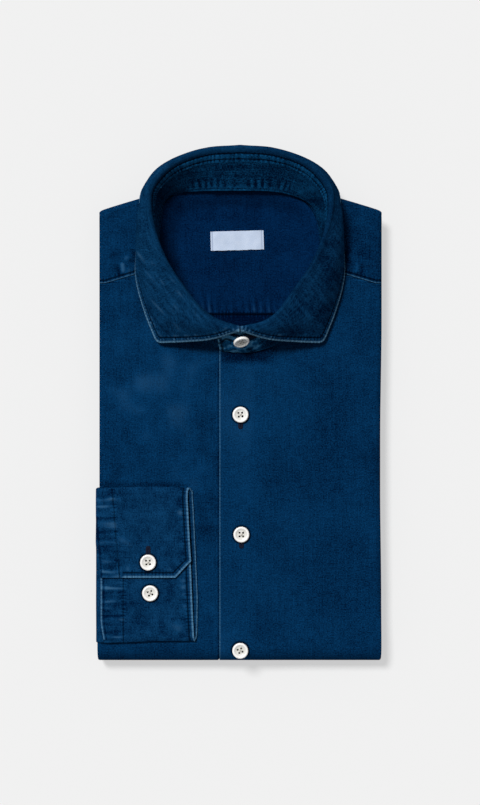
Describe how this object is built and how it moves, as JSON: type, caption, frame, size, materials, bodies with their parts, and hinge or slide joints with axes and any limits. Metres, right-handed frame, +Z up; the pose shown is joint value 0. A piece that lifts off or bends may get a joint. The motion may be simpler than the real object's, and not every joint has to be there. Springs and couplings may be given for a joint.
{
  "type": "folded denim shirt",
  "caption": "Long-sleeved denim shirt folded flat for the shelf, collar buttoned and standing, one cuff brought round onto the front.",
  "frame": {"origin": "centre of the bounding box in X and Y, on the surface that the folded shirt lies on", "axes": "+Z up out of the front, +Y from the bottom fold towards the collar, +X towards the wearer's left side"},
  "size_m": [0.2223, 0.4002, 0.0515],
  "materials": {
    "denim": "washed indigo denim, matt, paler along the seams",
    "denim_inside": "unfaded indigo denim, matt",
    "button": "pearly, satin sheen",
    "label": "woven satin, blank"
  },
  "bodies": {
    "root": {"right_front": "denim", "left_front": "denim", "yoke": "denim", "yoke_lining": "denim_inside", "back_panel": "denim_inside", "folded_layers": "denim", "collar_stand": "denim", "collar_leaf": "denim", "cuff": "denim", "sleeve_right": "denim", "front_button_1": "button", "front_button_2": "button", "front_button_3": "button", "cuff_button_1": "button", "cuff_button_2": "button", "collar_button": "button", "neck_label": "label"}
  },
  "joints": []
}
